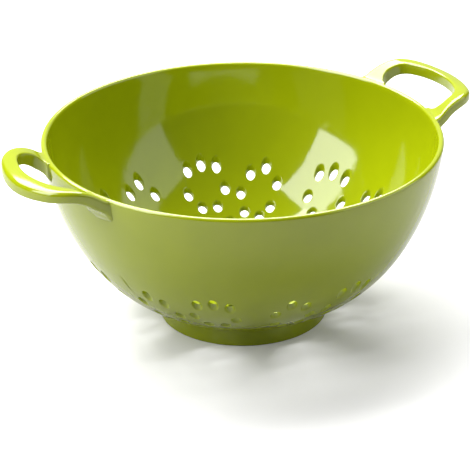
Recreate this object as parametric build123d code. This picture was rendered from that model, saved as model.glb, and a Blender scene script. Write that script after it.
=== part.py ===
from build123d import *
import math
import os

# Two-handled colander, moulded in one piece from melamine resin. The moulding is
# drawn as its bowl, its foot ring and its two loop handles, which meet face to face.
# Millimetres, with Z up from the surface that the foot stands on and the handles
# along X.

# Bowl. The radius of its lower curve is a share of the rim's. The wall thickens
# towards the lip, which is fully rounded.
rim_radius = 120.0
bowl_height = 115.2
wall = 2.6
lip_width = 3.7
floor_gap = 3.8
floor_flat_radius = 13.6
belly_radius_share = 0.84
belly_sweep = 60.5

# Foot ring
foot_radius = 51.0
foot_wall = 3.2
foot_draft = 1.0
foot_edge_radius = 0.9

# Drain holes, in rings of seven. Three rows of rings repeat seven times round the
# bowl, and one more ring is in the floor.
hole_radius = 2.9
holes_per_ring = 7
hole_ring_radius = 11.3
rings_per_row = 7
foot_hole_gap = 0.6
middle_row_step = 23.1
upper_row_step = 3.9

# How far round from a handle each row starts, as a share of its pitch
lower_row_turn_share = 0.27
middle_row_turn_share = 0.015
upper_row_turn_share = 0.443

# The lower rings are a little flattened in plan, and the middle and upper ones are a
# little uneven. Each hole's place is given outwards and sideways from its ring's
# centre, in shares of the ring's radius.
lower_ring_depth_share = 0.8
middle_ring_shares = [
    (0.76, 0.52), (1.00, -0.34), (0.40, -1.01), (-0.54, -0.72),
    (-0.99, -0.15), (-0.82, 0.70), (-0.02, 0.99),
]
upper_ring_shares = [
    (0.80, 0.05), (0.62, 0.88), (-0.26, 1.06), (-0.83, 0.40),
    (-0.85, -0.48), (-0.17, -1.10), (0.67, -0.81),
]

# Handles. The tip's radius is a share of the root's width, the corners' radii are
# shares of the finger gap's reach, and the arch's height is a share of its crest's
# reach. The arch leaves the top of the lip in a hollow curve.
handle_reach = 32.8
handle_root_width = 83.8
handle_side_taper = 9.6
handle_tip_radius_share = 0.716
handle_corner_radius_share = 0.944
band_width = 9.6
band_thickness = 7.4
band_edge_radius = 2.6
opening_corner_radius_share = 0.2575
opening_edge_radius = 1.2
opening_wall_web = 0.8
arch_crest_reach = 22.0
arch_crest_height_share = 0.41
arch_root_radius = 8.0
gusset_radius = 6.0

# How far a direction may lean and still count as upright
plumb_share = 0.001

half_lip = lip_width / 2
belly_radius = belly_radius_share * rim_radius
ring_pitch = 360 / rings_per_row
handle_tip_radius = handle_tip_radius_share * handle_root_width
opening_reach = handle_reach - band_width
handle_corner_radius = handle_corner_radius_share * opening_reach
opening_corner_radius = opening_corner_radius_share * opening_reach
arch_crest_height = arch_crest_height_share * arch_crest_reach
arch_run = arch_crest_reach + half_lip
arch_turn = 2 * math.degrees(math.atan2(arch_crest_height, arch_run))
arch_radius = arch_run / math.sin(math.radians(arch_turn)) - arch_root_radius


def bowl_outer_path():
    """Outside of the bowl in the XZ plane, from the floor's centre to the lip."""
    floor_line = Line((0, floor_gap), (floor_flat_radius, floor_gap))
    belly = JernArc(floor_line @ 1, (1, 0), belly_radius, belly_sweep)
    shoulder = TangentArc(belly @ 1, (rim_radius, bowl_height - half_lip), tangent=belly % 1)
    return floor_line, belly, shoulder


def bowl_profile():
    """Half section of the bowl's wall, with a fully rounded lip."""
    floor_line, belly, shoulder = bowl_outer_path()
    lip_tangent = (shoulder % 1).normalized()
    inward = Vector(-lip_tangent.Y, lip_tangent.X)
    lip_outer = shoulder @ 1
    lip_inner = lip_outer + inward * lip_width
    lip_top = lip_outer + (inward + lip_tangent) * half_lip
    inner_floor = Line((0, floor_gap + wall), (floor_flat_radius, floor_gap + wall))
    inner_belly = JernArc(inner_floor @ 1, (1, 0), belly_radius - wall, belly_sweep)
    inner_shoulder = TangentArc(inner_belly @ 1, lip_inner, tangent=inner_belly % 1)
    lip = ThreePointArc(lip_outer, lip_top, lip_inner)
    axis_line = Line(floor_line @ 0, inner_floor @ 0)
    outline = Curve() + [floor_line, belly, shoulder, lip, inner_shoulder, inner_belly]
    return make_face(outline + [inner_floor, axis_line])


def filled_profile():
    """Half section of the bowl's outer form, filled to the axis below the lip."""
    floor_line, belly, shoulder = bowl_outer_path()
    lip_tangent = (shoulder % 1).normalized()
    inward = Vector(-lip_tangent.Y, lip_tangent.X)
    lip_outer = shoulder @ 1
    lip_top = lip_outer + (inward + lip_tangent) * half_lip
    lip_inner = lip_outer + inward * lip_width
    lip = ThreePointArc(lip_outer, lip_top, lip_inner)
    across = Line(lip_inner, (0, lip_inner.Y))
    axis_line = Line((0, lip_inner.Y), floor_line @ 0)
    return make_face(Curve() + [floor_line, belly, shoulder, lip, across, axis_line])


def upright(face):
    """A section drawn on XY, stood up in the XZ plane."""
    return Plane.XZ * face


def even_ring_shares():
    """Places of the holes in an even ring, in shares of the ring's radius."""
    turns = [2 * math.pi * hole / holes_per_ring for hole in range(holes_per_ring)]
    return [(math.cos(turn), math.sin(turn)) for turn in turns]


def hole_places():
    """Plan position of every drain hole."""
    lower_ring_depth = lower_ring_depth_share * hole_ring_radius
    ring_reach = lower_ring_depth * math.cos(math.pi / holes_per_ring)
    lower_row_radius = foot_radius + foot_hole_gap + hole_radius + ring_reach
    middle_row_radius = lower_row_radius + middle_row_step
    upper_row_radius = middle_row_radius + upper_row_step
    lower_ring_shares = [(lower_ring_depth_share * out, side) for out, side in even_ring_shares()]
    rows = [
        (lower_row_radius, lower_row_turn_share, lower_ring_shares),
        (middle_row_radius, middle_row_turn_share, middle_ring_shares),
        (upper_row_radius, upper_row_turn_share, upper_ring_shares),
    ]
    places = [Pos(out * hole_ring_radius, side * hole_ring_radius) for out, side in even_ring_shares()]
    for row_radius, turn_share, ring_shares in rows:
        for ring in range(rings_per_row):
            ring_place = Rot(0, 0, (ring + turn_share) * ring_pitch) * Pos(row_radius, 0)
            for out, side in ring_shares:
                places.append(ring_place * Pos(out * hole_ring_radius, side * hole_ring_radius))
    return places


def drain_holes():
    """Straight pins for the drain holes, all in the direction that the mould opens."""
    pin = extrude(Circle(hole_radius), bowl_height)
    return [place * pin for place in hole_places()]


def make_bowl():
    shell = revolve(upright(bowl_profile()), axis=Axis.Z)
    return shell - drain_holes()


def make_foot_ring():
    """Drafted ring under the bowl, standing on a flat edge with rounded corners."""
    lean = math.tan(math.radians(foot_draft)) * bowl_height
    foot_section = make_face(Polyline(
        (foot_radius - foot_wall, 0),
        (foot_radius, 0),
        (foot_radius + lean, bowl_height),
        (foot_radius - foot_wall - lean, bowl_height),
        close=True,
    ))
    standing_corners = foot_section.vertices().group_by(Axis.Y)[0]
    foot_section = fillet(standing_corners, foot_edge_radius)
    foot_section = foot_section - filled_profile()
    under_bowl = foot_section.faces().sort_by(Axis.Y)[0]
    return revolve(upright(under_bowl), axis=Axis.Z)


def band_path(depth):
    """Curve at a depth below the band's top: a hollow root, then the arch to beyond its tip."""
    start = (rim_radius - half_lip, bowl_height - depth)
    root = JernArc(start, (1, 0), arch_root_radius + depth, arch_turn)
    arch = JernArc(root @ 1, root % 1, arch_radius - depth, -arch_turn - 90)
    return root, arch


def handle_section():
    """Half section of a handle's band, arched over its root, with a gusset below."""
    top_root, top_arch = band_path(0)
    low_root, low_arch = band_path(band_thickness)
    underside_height = bowl_height - band_thickness
    inside_bowl = (rim_radius - half_lip - band_thickness, underside_height)
    root_line = Polyline(top_root @ 0, inside_bowl, low_root @ 0)
    end_line = Line(top_arch @ 1, low_arch @ 1)
    band = make_face(Curve() + [root_line, top_root, top_arch, end_line, low_arch, low_root])
    bowl_form = filled_profile()
    joined = bowl_form + band
    inner_corner = joined.vertices().sort_by_distance((rim_radius, underside_height))[0]
    return fillet(inner_corner, gusset_radius) - bowl_form


def handle_outline():
    """Plan of one handle: straight converging sides, rounded corners and a bowed tip."""
    root_half_width = handle_root_width / 2
    root_x = math.sqrt(rim_radius ** 2 - root_half_width ** 2)
    inner_x = root_x - handle_reach
    tip_x = rim_radius + handle_reach
    taper = math.tan(math.radians(handle_side_taper))
    inner_half_width = root_half_width + taper * (root_x - inner_x)
    tip_half_width = root_half_width - taper * (tip_x - root_x)
    between_sides = make_face(Polyline(
        (inner_x, inner_half_width),
        (tip_x, tip_half_width),
        (tip_x, -tip_half_width),
        (inner_x, -inner_half_width),
        close=True,
    ))
    tip_form = Pos(tip_x - handle_tip_radius, 0) * Circle(handle_tip_radius)
    root_form = Pos(inner_x, 0) * Rectangle(2 * handle_reach, 4 * root_half_width)
    blank = between_sides & (tip_form + root_form)
    tip_corners = blank.vertices().group_by(Axis.X)[-1]
    return fillet(tip_corners, handle_corner_radius)


def handle_opening(outline):
    """Plan of the finger gap: a band's width inside the outline, clear of the bowl."""
    wall_side = Circle(rim_radius + opening_wall_web)
    gap = (offset(outline, -band_width) - wall_side).faces().sort_by(Axis.X)[-1]
    wall_corners = gap.vertices().sort_by_distance((0, 0))[0:2]
    return fillet(wall_corners, opening_corner_radius)


def reaches_past_rim(edge):
    """True for an edge with a point on the band, false for one that lies on the bowl."""
    points = [edge @ 0, edge @ 0.5, edge @ 1]
    farthest = max(math.hypot(point.X, point.Y) for point in points)
    return farthest > rim_radius + opening_wall_web / 2


def side_edges(faces):
    """Top and bottom edges of upright faces, without the corners between them."""
    edges = ShapeList()
    for face in faces:
        edges += [edge for edge in face.edges() if abs((edge % 0.5).Z) < 1 - plumb_share]
    return ShapeList(edge for edge in edges if reaches_past_rim(edge))


def upright_faces(handle, gap):
    """The handle's upright faces: those round its outside, and those round the gap."""
    gap_corner = gap.bounding_box().max
    outside = ShapeList()
    inside = ShapeList()
    for face in handle.faces():
        middle = face.center()
        if abs(face.normal_at(middle).Z) > plumb_share:
            continue
        beyond_gap = max(middle.X - gap_corner.X, abs(middle.Y) - gap_corner.Y)
        if beyond_gap > band_width / 4:
            outside.append(face)
        else:
            inside.append(face)
    return outside, inside


def make_handle():
    """One handle, standing out from the bowl along X, with its edges rounded."""
    outline = handle_outline()
    gap = handle_opening(outline)
    arched = revolve(Rot(0, 0, 180) * upright(handle_section()), axis=Axis.Z)
    handle = arched & extrude(outline - gap, amount=bowl_height + 2 * arch_crest_height)
    outside, inside = upright_faces(handle, gap)
    handle = fillet(side_edges(outside), band_edge_radius)
    outside, inside = upright_faces(handle, gap)
    return fillet(side_edges(inside), opening_edge_radius)


handle = make_handle()
nodes = {
    "bowl": make_bowl(),
    "foot_ring": make_foot_ring(),
    "handle_right": handle,
    "handle_left": Rot(0, 0, 180) * handle,
}

os.makedirs("parts", exist_ok=True)
for name, solid in nodes.items():
    export_step(solid, f"parts/{name}.step")
    size = solid.bounding_box().size
    print(name, len(solid.solids()), round(solid.volume), size)
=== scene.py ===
import math

import bmesh
import bpy
from mathutils import Matrix, Vector


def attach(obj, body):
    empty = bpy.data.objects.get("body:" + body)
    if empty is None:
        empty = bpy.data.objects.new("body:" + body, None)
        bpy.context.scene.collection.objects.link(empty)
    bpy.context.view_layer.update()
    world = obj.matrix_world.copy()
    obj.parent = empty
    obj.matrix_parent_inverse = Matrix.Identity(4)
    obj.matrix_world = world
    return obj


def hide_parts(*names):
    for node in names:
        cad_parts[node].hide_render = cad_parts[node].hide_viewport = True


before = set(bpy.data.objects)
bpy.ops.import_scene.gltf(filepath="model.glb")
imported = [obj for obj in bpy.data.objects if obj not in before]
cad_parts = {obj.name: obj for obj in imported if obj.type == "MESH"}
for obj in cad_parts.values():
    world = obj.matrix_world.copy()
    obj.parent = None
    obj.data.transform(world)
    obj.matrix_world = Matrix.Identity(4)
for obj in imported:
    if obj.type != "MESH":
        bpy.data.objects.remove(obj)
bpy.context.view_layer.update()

# The colander stands on Z = 0 with its handles along X. Everything is in metres.
MM = 0.001
merge_distance = 0.02 * MM

# Bowl, with the same profile as the frame's
rim_radius = 120.0 * MM
bowl_height = 115.2 * MM
wall = 2.6 * MM
lip_width = 3.7 * MM
floor_gap = 3.8 * MM
floor_flat_radius = 13.6 * MM
belly_radius = 100.8 * MM
belly_sweep = math.radians(60.5)
bowl_segments = 280
shoulder_steps = 14
lip_steps = 12

# The sheet with the drain holes: its radius, and how fine its faces get
sheet_radius = 104.4 * MM
sheet_edge_lengths = (24 * MM, 12 * MM, 6 * MM, 3.6 * MM)
sheet_splits = 2
sheet_smoothings = 6

# Foot ring, reaching into the bowl's wall, with a small fillet round its joint
foot_radius = 51.0 * MM
foot_wall = 3.2 * MM
foot_draft = math.radians(1.0)
foot_edge_radius = 0.9 * MM
foot_fillet = 0.7 * MM

# Handles: plan outline, band section and arch, as in the frame, and how far the gusset and
# the ends reach into the bowl's wall
handle_reach = 32.8 * MM
handle_root_width = 83.8 * MM
handle_taper = math.radians(9.6)
tip_radius = 60.0 * MM
corner_radius = 21.9 * MM
band_width = 9.6 * MM
band_thickness = 7.4 * MM
band_edge_radius = 2.6 * MM
gap_edge_radius = 1.2 * MM
gap_corner_radius = 5.97 * MM
gap_web = 0.8 * MM
arch_reach = 22.0 * MM
arch_height = 9.02 * MM
arch_root_radius = 8.0 * MM
gusset_radius = 6.0 * MM
gusset_start = 0.6 * MM
handle_end_depth = 2.3 * MM
handle_end_step = 0.3 * MM
tip_steps = 12
corner_steps = 14
side_steps = 4
band_steps = 5

# Drain holes. A row is its radius and how far round it starts, as a share of its pitch. A
# hole's place in a middle or upper ring is given outwards and sideways from the ring's centre.
hole_radius = 2.9 * MM
hole_collar = 0.75 * MM
hole_edge_radius = 0.5 * MM
hole_segments = 20
holes_per_ring = 7
hole_ring_radius = 11.3 * MM
rings_per_row = 7
lower_ring_depth = 0.8
lower_row = (62.64 * MM, 0.27)
middle_row = (85.74 * MM, 0.015)
upper_row = (89.64 * MM, 0.443)
middle_ring = [
    (0.76, 0.52), (1.00, -0.34), (0.40, -1.01), (-0.54, -0.72),
    (-0.99, -0.15), (-0.82, 0.70), (-0.02, 0.99),
]
upper_ring = [
    (0.80, 0.05), (0.62, 0.88), (-0.26, 1.06), (-0.83, 0.40),
    (-0.85, -0.48), (-0.17, -1.10), (0.67, -0.81),
]

# The photograph's camera, from the side that has the right handle at the back
camera_turn = math.radians(-30.9)
camera_tilt = math.radians(25.378)
camera_roll = math.radians(-0.3776)
camera_place = (-0.00478, -1.4094, 0.7180)
camera_lens = 197.0

# The lamps' common target, and the floor's tones as the colander and the camera see them
lamp_target = Vector((0, 0, 60 * MM))
floor_size = 4.0
floor_bounce = (0.44, 0.44, 0.44, 1)
floor_seen = (0.71, 0.71, 0.71, 1)
floor_glow = 0.08
world_light = 0.04


def smooth(mesh):
    for face in mesh.polygons:
        face.use_smooth = True


def finished_piece(name, bm, material):
    """A piece at the origin, riding on the moulding's one body."""
    mesh = bpy.data.meshes.new(name)
    bm.to_mesh(mesh)
    bm.free()
    smooth(mesh)
    piece = bpy.data.objects.new(name, mesh)
    bpy.context.collection.objects.link(piece)
    piece.data.materials.append(material)
    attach(piece, "root")
    return piece


# Melamine

def melamine_green():
    """Glossy moulded melamine, with a faint mottle and the mould's fine polish."""
    material = bpy.data.materials.new("melamine_green")
    material.use_nodes = True
    nodes = material.node_tree.nodes
    links = material.node_tree.links
    shader = nodes["Principled BSDF"]
    coords = nodes.new("ShaderNodeTexCoord")

    mottle = nodes.new("ShaderNodeTexNoise")
    mottle.inputs["Scale"].default_value = 42.0
    mottle.inputs["Detail"].default_value = 4.0
    links.new(coords.outputs["Object"], mottle.inputs["Vector"])
    tint = nodes.new("ShaderNodeValToRGB")
    tint.color_ramp.elements[0].position = 0.30
    tint.color_ramp.elements[0].color = (0.256, 0.305, 0.0018, 1)
    tint.color_ramp.elements[1].position = 0.70
    tint.color_ramp.elements[1].color = (0.273, 0.322, 0.0023, 1)
    links.new(mottle.outputs["Fac"], tint.inputs["Fac"])
    links.new(tint.outputs["Color"], shader.inputs["Base Color"])

    haze = nodes.new("ShaderNodeTexNoise")
    haze.inputs["Scale"].default_value = 24.0
    haze.inputs["Detail"].default_value = 5.0
    links.new(coords.outputs["Object"], haze.inputs["Vector"])
    gloss = nodes.new("ShaderNodeMapRange")
    gloss.inputs["From Min"].default_value = 0.3
    gloss.inputs["From Max"].default_value = 0.7
    gloss.inputs["To Min"].default_value = 0.06
    gloss.inputs["To Max"].default_value = 0.10
    links.new(haze.outputs["Fac"], gloss.inputs["Value"])
    links.new(gloss.outputs["Result"], shader.inputs["Roughness"])

    polish = nodes.new("ShaderNodeTexNoise")
    polish.inputs["Scale"].default_value = 60.0
    polish.inputs["Detail"].default_value = 3.0
    links.new(coords.outputs["Object"], polish.inputs["Vector"])
    ripple = nodes.new("ShaderNodeBump")
    ripple.inputs["Strength"].default_value = 0.04
    ripple.inputs["Distance"].default_value = 0.0006
    links.new(polish.outputs["Fac"], ripple.inputs["Height"])
    links.new(ripple.outputs["Normal"], shader.inputs["Normal"])

    shader.inputs["IOR"].default_value = 1.62
    shader.inputs["Specular IOR Level"].default_value = 0.5
    return material


# Bowl

belly_centre = Vector((floor_flat_radius, floor_gap + belly_radius))
to_belly_end = Vector((math.sin(belly_sweep), -math.cos(belly_sweep)))
lip_outer = Vector((rim_radius, bowl_height - lip_width / 2))


def shoulder_arc(bend, end):
    """Centre and radius of the arc that runs on from the belly's, of this radius, to a point."""
    start = belly_centre + bend * to_belly_end
    chord = end - start
    radius = chord.length_squared / (2 * chord.dot(-to_belly_end))
    return start - radius * to_belly_end, radius


outer_shoulder = shoulder_arc(belly_radius, lip_outer)
to_lip = (lip_outer - outer_shoulder[0]).normalized()
lip_inner = lip_outer - lip_width * to_lip
inner_shoulder = shoulder_arc(belly_radius - wall, lip_inner)


def wall_height(radius, inside):
    """Height of the bowl's outer or inner surface at a plan radius."""
    bend = belly_radius - wall if inside else belly_radius
    if radius <= floor_flat_radius:
        return belly_centre.y - bend
    centre = belly_centre
    if radius > belly_centre.x + bend * to_belly_end.x:
        centre, bend = inner_shoulder if inside else outer_shoulder
    across = radius - centre.x
    return centre.y - math.sqrt(bend ** 2 - across ** 2)


def shoulder_points(shoulder, lip_end):
    """The wall's upper curve, from the drilled sheet's edge up to the lip."""
    centre, bend = shoulder
    start = math.asin((sheet_radius - centre.x) / bend)
    end = math.atan2(lip_end.x - centre.x, centre.y - lip_end.y)
    points = []
    for step in range(shoulder_steps + 1):
        turn = start + (end - start) * step / shoulder_steps
        points.append(centre + bend * Vector((math.sin(turn), -math.cos(turn))))
    return points


def lip_points():
    """The full-round lip, from the outer wall's end over to the inner wall's end."""
    along = Vector((-to_lip.y, to_lip.x))
    centre = (lip_outer + lip_inner) / 2
    points = []
    for step in range(1, lip_steps):
        turn = math.pi * step / lip_steps
        points.append(centre + lip_width / 2 * (math.cos(turn) * to_lip + math.sin(turn) * along))
    return points


def hole_places():
    """Plan position of every drain hole."""
    even_ring = []
    for hole in range(holes_per_ring):
        turn = 2 * math.pi * hole / holes_per_ring
        even_ring.append((math.cos(turn), math.sin(turn)))
    places = [hole_ring_radius * Vector(share) for share in even_ring]
    lower_ring = [(lower_ring_depth * out, side) for out, side in even_ring]
    for row, ring in ((lower_row, lower_ring), (middle_row, middle_ring), (upper_row, upper_ring)):
        row_radius, turn_share = row
        for step in range(rings_per_row):
            turn = Matrix.Rotation(2 * math.pi * (step + turn_share) / rings_per_row, 2)
            for out, side in ring:
                place = Vector((row_radius + out * hole_ring_radius, side * hole_ring_radius))
                places.append(turn @ place)
    return places


def spin_profile(bm, profile):
    """Turn a profile of radii and heights round the bowl's axis."""
    path = [bm.verts.new((point[0], 0, point[1])) for point in profile]
    edges = [bm.edges.new(pair) for pair in zip(path, path[1:])]
    bmesh.ops.spin(bm, geom=path + edges, axis=(0, 0, 1), cent=(0, 0, 0),
                   angle=2 * math.pi, steps=bowl_segments, use_merge=True, use_duplicate=False)


def drilled_sheet():
    """A flat sheet with every drain hole in it, in small faces, for the bowl's two sides."""
    bm = bmesh.new()
    bmesh.ops.create_circle(bm, segments=bowl_segments, radius=sheet_radius)
    for place in hole_places():
        bmesh.ops.create_circle(
            bm, segments=hole_segments, radius=hole_radius + hole_collar,
            matrix=Matrix.Translation((place.x, place.y, 0)))
    loops = set(bm.edges)
    bmesh.ops.triangle_fill(bm, edges=bm.edges[:], use_beauty=True, normal=(0, 0, 1))
    for longest in sheet_edge_lengths:
        for split in range(sheet_splits):
            long_edges = [e for e in bm.edges if e not in loops and e.calc_length() > longest]
            if not long_edges:
                break
            bmesh.ops.subdivide_edges(bm, edges=long_edges, cuts=1)
            bmesh.ops.triangulate(bm, faces=bm.faces[:])
            free = [e for e in bm.edges if e not in loops and not e.is_boundary]
            bmesh.ops.beautify_fill(bm, faces=bm.faces[:], edges=free, method="ANGLE")
        inner = [v for v in bm.verts if not v.is_boundary]
        for smoothing in range(sheet_smoothings):
            bmesh.ops.smooth_vert(bm, verts=inner, factor=0.5, use_axis_x=True, use_axis_y=True)
    for place in hole_places():
        centre = Vector((place.x, place.y, 0))
        collar = [e for e in bm.edges if e.is_boundary
                  and (e.verts[0].co - centre).length < hole_radius + 1.1 * hole_collar]
        rim = bmesh.ops.extrude_edge_only(bm, edges=collar)["geom"]
        rim_verts = [g for g in rim if isinstance(g, bmesh.types.BMVert)]
        shrink = hole_radius / (hole_radius + hole_collar)
        bmesh.ops.scale(bm, vec=(shrink, shrink, 1), verts=rim_verts,
                        space=Matrix.Translation(-centre))
    bmesh.ops.recalc_face_normals(bm, faces=bm.faces[:])
    return bm


def bowl_shell():
    """The bowl: two drilled sheets joined through the holes, and a spun shoulder and lip."""
    bm = drilled_sheet()
    hole_edges = [e for e in bm.edges if e.is_boundary
                  and e.verts[0].co.length < sheet_radius - hole_collar]
    outside = bm.faces[:]
    lifted = bmesh.ops.extrude_face_region(bm, geom=outside, use_keep_orig=True)["geom"]
    inside_verts = {g for g in lifted if isinstance(g, bmesh.types.BMVert)}
    for vert in bm.verts:
        vert.co.z = wall_height(math.hypot(vert.co.x, vert.co.y), vert in inside_verts)
    hole_verts = {v for e in hole_edges for v in e.verts}
    rim_edges = list(hole_edges)
    for edge in bm.edges:
        if edge in rim_edges or not all(v in inside_verts for v in edge.verts):
            continue
        upright = [f for f in edge.link_faces if any(v in hole_verts for v in f.verts)]
        if upright:
            rim_edges.append(edge)
    sheet_edge = sheet_radius - 0.1 * MM
    edge_walls = [f for f in bm.faces
                  if all(math.hypot(v.co.x, v.co.y) > sheet_edge for v in f.verts)]
    bmesh.ops.delete(bm, geom=edge_walls, context="FACES_ONLY")
    bmesh.ops.bevel(bm, geom=rim_edges, offset=hole_edge_radius, segments=2, profile=0.5,
                    affect="EDGES", material=-1, clamp_overlap=True)

    outer_curve = shoulder_points(outer_shoulder, lip_outer)
    inner_curve = shoulder_points(inner_shoulder, lip_inner)
    spin_profile(bm, outer_curve + lip_points() + inner_curve[::-1])
    bmesh.ops.remove_doubles(bm, verts=bm.verts[:], dist=merge_distance)
    bmesh.ops.recalc_face_normals(bm, faces=bm.faces[:])
    return bm


# Foot ring

def quarter_arc(centre, radius, start, end, count):
    """Points on an arc, between two angles in degrees."""
    points = []
    for step in range(count + 1):
        turn = math.radians(start + (end - start) * step / count)
        points.append((centre[0] + radius * math.cos(turn), centre[1] + radius * math.sin(turn)))
    return points


def foot_ring():
    """The ring under the bowl: its drafted sides run on into the wall above it."""
    outer_joint = wall_height(foot_radius, False)
    inner_radius = foot_radius - foot_wall
    inner_joint = wall_height(inner_radius, False)
    lean = math.tan(foot_draft)
    corner = foot_edge_radius
    in_wall = foot_radius + 3 * foot_fillet
    fillet_start = foot_radius + 2.2 * foot_fillet
    profile = [(in_wall, wall_height(in_wall, False) + wall / 2)]
    profile.append((fillet_start, wall_height(fillet_start, False)))
    for reach, drop in ((1.3, 0.02), (0.7, 0.18), (0.3, 0.45)):
        radius = foot_radius + lean * outer_joint + reach * foot_fillet
        profile.append((radius, wall_height(radius, False) - drop * foot_fillet))
    profile.append((foot_radius + lean * outer_joint, outer_joint - foot_fillet))
    profile += quarter_arc((foot_radius - corner, corner), corner, 0, -90, 6)
    profile += quarter_arc((inner_radius + corner, corner), corner, -90, -180, 6)
    profile.append((inner_radius - lean * inner_joint, inner_joint + wall / 2))
    bm = bmesh.new()
    spin_profile(bm, profile + profile[:1])
    bmesh.ops.remove_doubles(bm, verts=bm.verts[:], dist=merge_distance)
    bmesh.ops.recalc_face_normals(bm, faces=bm.faces[:])
    return bm


# Handles

arch_run = arch_reach + lip_width / 2
arch_turn = 2 * math.atan2(arch_height, arch_run)
arch_radius = arch_run / math.sin(arch_turn) - arch_root_radius
lip_crest = rim_radius - lip_width / 2


def band_height(radius, depth):
    """Height of the band at a plan radius, a depth below its top: a hollow root, then the arch."""
    across = radius - lip_crest
    if across <= 0:
        return bowl_height - depth
    root_bend = arch_root_radius + depth
    if across < root_bend * math.sin(arch_turn):
        return bowl_height - depth + root_bend - math.sqrt(root_bend ** 2 - across ** 2)
    beyond = radius - rim_radius - arch_reach
    bend = arch_radius - depth
    return bowl_height + arch_height - arch_radius + math.sqrt(bend ** 2 - beyond ** 2)


def underside_height(radius):
    """The band's underside, which ends in a gusset against the wall."""
    low = band_height(radius, band_thickness)
    gusset_reach = rim_radius - gusset_start + gusset_radius
    if radius >= gusset_reach:
        return low
    across = min(gusset_reach - radius, gusset_radius)
    return low - gusset_radius + math.sqrt(gusset_radius ** 2 - across ** 2)


def band_stations():
    """Pairs of plan points, at the gap's side and the outside, along half of one handle."""
    side_out = Vector((math.sin(handle_taper), math.cos(handle_taper)))
    side_along = Vector((math.cos(handle_taper), -math.sin(handle_taper)))
    root = Vector((math.sqrt(rim_radius ** 2 - handle_root_width ** 2 / 4), handle_root_width / 2))
    tip_centre = Vector((rim_radius + handle_reach - tip_radius, 0))
    bend = tip_radius - corner_radius
    meet = math.asin((-corner_radius - (tip_centre - root).dot(side_out)) / bend) - handle_taper
    corner = tip_centre + bend * Vector((math.cos(meet), math.sin(meet)))
    side_turn = math.pi / 2 - handle_taper

    stations = []
    for centre, radius, start, end, count in (
            (tip_centre, tip_radius, 0, meet, tip_steps),
            (corner, corner_radius, meet, side_turn, corner_steps)):
        for step in range(count):
            turn = start + (end - start) * step / count
            ray = Vector((math.cos(turn), math.sin(turn)))
            stations.append((centre + (radius - band_width) * ray, centre + radius * ray))

    gap_line = root.dot(side_out) - band_width
    flare_reach = rim_radius + gap_web + gap_corner_radius
    flare_turn = math.asin((gap_line - gap_corner_radius) / flare_reach) - handle_taper
    flare = flare_reach * Vector((math.cos(flare_turn), math.sin(flare_turn)))
    flare_start = flare + gap_corner_radius * side_out
    side_start = corner + corner_radius * side_out
    side_end = flare_start + band_width * side_out
    for step in range(side_steps):
        outer = side_start.lerp(side_end, step / side_steps)
        stations.append((outer - band_width * side_out, outer))

    in_wall = rim_radius - handle_end_depth
    along = root.dot(side_along)
    outer_end = root - side_along * (along - math.sqrt(in_wall ** 2 - root.dot(side_out) ** 2))
    for step in range(corner_steps + 1):
        share = step / corner_steps
        turn = side_turn + (math.pi + flare_turn - side_turn) * share
        inner = flare + gap_corner_radius * Vector((math.cos(turn), math.sin(turn)))
        stations.append((inner, side_end.lerp(outer_end, share)))
    inner_end = in_wall * Vector((math.cos(flare_turn), math.sin(flare_turn)))
    stations.append((inner_end, outer_end - handle_end_step * side_along))
    return stations


def band_ring(inner, outer):
    """One section of the band between two plan points, with its edges rounded."""
    width = (outer - inner).length
    ring = []
    for edge, turns, side in ((gap_edge_radius, (180, 90), 0), (band_edge_radius, (90, 0), 1)):
        centre = edge if side == 0 else width - edge
        arc = quarter_arc((centre, 0), edge, *turns, band_steps)
        ring += [(across, edge - rise, 1) for across, rise in arc]
        if side == 0:
            flat = width - gap_edge_radius - band_edge_radius
            ring += [(edge + flat * step / band_steps, 0, 1) for step in range(1, band_steps)]
    ring += [(across, depth, 0) for across, depth, upper in ring[::-1]]
    places = []
    for across, depth, upper in ring:
        place = inner.lerp(outer, across / width)
        if upper:
            height = band_height(place.length, 0) - depth
        else:
            height = underside_height(place.length) + depth
        places.append((place.x, place.y, height))
    return places


def handle(side):
    """A loop handle: rounded sections bridged from root to root, with its ends in the wall."""
    half = band_stations()
    mirrored = [(Vector((a.x, -a.y)), Vector((b.x, -b.y))) for a, b in half[:0:-1]]
    bm = bmesh.new()
    before = None
    for inner, outer in mirrored + half:
        verts = [bm.verts.new((side * x, side * y, z)) for x, y, z in band_ring(inner, outer)]
        ring = [bm.edges.new(pair) for pair in zip(verts, verts[1:] + verts[:1])]
        if before:
            bmesh.ops.bridge_loops(bm, edges=before + ring)
        before = ring
    bmesh.ops.holes_fill(bm, edges=[e for e in bm.edges if e.is_boundary], sides=0)
    bmesh.ops.recalc_face_normals(bm, faces=bm.faces[:])
    return bm


# Studio

def in_camera_turn(x, y, z):
    """A place given as the camera sees it: X to its right, Y away from it, Z up."""
    return Matrix.Rotation(camera_turn, 4, "Z") @ Vector((x, y, z))


def softbox(name, azimuth, elevation, distance, width, height, power):
    """A rectangular lamp aimed at the bowl, placed round it as the camera sees it."""
    turn, lift = math.radians(azimuth), math.radians(elevation)
    place = in_camera_turn(distance * math.cos(lift) * math.cos(turn),
                           distance * math.cos(lift) * math.sin(turn),
                           distance * math.sin(lift))
    lamp = bpy.data.lights.new(name, "AREA")
    lamp.shape = "RECTANGLE"
    lamp.size = width
    lamp.size_y = height
    lamp.energy = power
    holder = bpy.data.objects.new(name, lamp)
    holder.location = place
    holder.rotation_euler = (lamp_target - place).to_track_quat("-Z", "Y").to_euler()
    bpy.context.collection.objects.link(holder)


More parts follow.
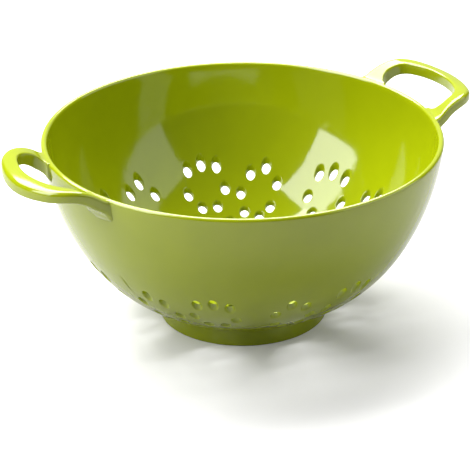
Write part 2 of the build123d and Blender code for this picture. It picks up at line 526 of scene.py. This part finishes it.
def studio_floor():
    """A pale floor that the camera sees as white where no shadow falls."""
    bm = bmesh.new()
    bmesh.ops.create_grid(bm, x_segments=8, y_segments=8, size=floor_size)
    mesh = bpy.data.meshes.new("studio_floor")
    bm.to_mesh(mesh)
    bm.free()
    floor = bpy.data.objects.new("studio_floor", mesh)
    bpy.context.collection.objects.link(floor)
    material = bpy.data.materials.new("floor_white")
    material.use_nodes = True
    nodes = material.node_tree.nodes
    links = material.node_tree.links
    shader = nodes["Principled BSDF"]
    shader.inputs["Roughness"].default_value = 0.8
    shader.inputs["Specular IOR Level"].default_value = 0.1
    shader.inputs["Emission Color"].default_value = (1, 1, 1, 1)
    rays = nodes.new("ShaderNodeLightPath")
    seen = nodes.new("ShaderNodeMath")
    seen.operation = "MULTIPLY"
    seen.inputs[1].default_value = floor_glow
    links.new(rays.outputs["Is Camera Ray"], seen.inputs[0])
    links.new(seen.outputs[0], shader.inputs["Emission Strength"])
    paint = nodes.new("ShaderNodeMix")
    paint.data_type = "RGBA"
    factor, colour_a, colour_b = (paint.inputs[socket] for socket in (0, 6, 7))
    colour_a.default_value = floor_bounce
    colour_b.default_value = floor_seen
    links.new(rays.outputs["Is Camera Ray"], factor)
    links.new(paint.outputs[2], shader.inputs["Base Color"])
    floor.data.materials.append(material)


def studio_world():
    """A dim white world that the camera sees as white."""
    world = bpy.data.worlds.new("studio_world")
    world.use_nodes = True
    nodes = world.node_tree.nodes
    links = world.node_tree.links
    background = nodes["Background"]
    background.inputs["Color"].default_value = (1, 1, 1, 1)
    rays = nodes.new("ShaderNodeLightPath")
    strength = nodes.new("ShaderNodeMath")
    strength.operation = "MAXIMUM"
    strength.inputs[1].default_value = world_light
    links.new(rays.outputs["Is Camera Ray"], strength.inputs[0])
    links.new(strength.outputs[0], background.inputs["Strength"])
    bpy.context.scene.world = world


def photo_camera():
    """The photograph's camera, turned round the bowl to the side that it was taken from."""
    camera = bpy.data.cameras.new("camera")
    camera.lens = camera_lens
    camera.sensor_width = 36.0
    camera.clip_start = 0.05
    holder = bpy.data.objects.new("camera", camera)
    holder.matrix_world = (
        Matrix.Rotation(camera_turn, 4, "Z")
        @ Matrix.Translation(camera_place)
        @ Matrix.Rotation(math.pi / 2 - camera_tilt, 4, "X")
        @ Matrix.Rotation(camera_roll, 4, "Z"))
    bpy.context.collection.objects.link(holder)
    bpy.context.scene.camera = holder


melamine = melamine_green()
bowl = finished_piece("moulded_bowl", bowl_shell(), melamine)
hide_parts("bowl")
for node, shape in (
        ("foot_ring", foot_ring()), ("handle_left", handle(-1)), ("handle_right", handle(1))):
    piece = finished_piece("moulded_" + node, shape, melamine)
    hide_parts(node)

studio_floor()
studio_world()
softbox("left_softbox", 202, 38, 1.6, 0.95, 1.25, 26)
softbox("overhead_softbox", 114, 60, 1.8, 2.4, 1.5, 118)
softbox("right_softbox", -8, 25, 1.6, 1.7, 1.3, 10)
softbox("back_softbox", 90, 22, 2.2, 3.0, 1.6, 8)
photo_camera()
bpy.context.scene.view_settings.view_transform = "Standard"
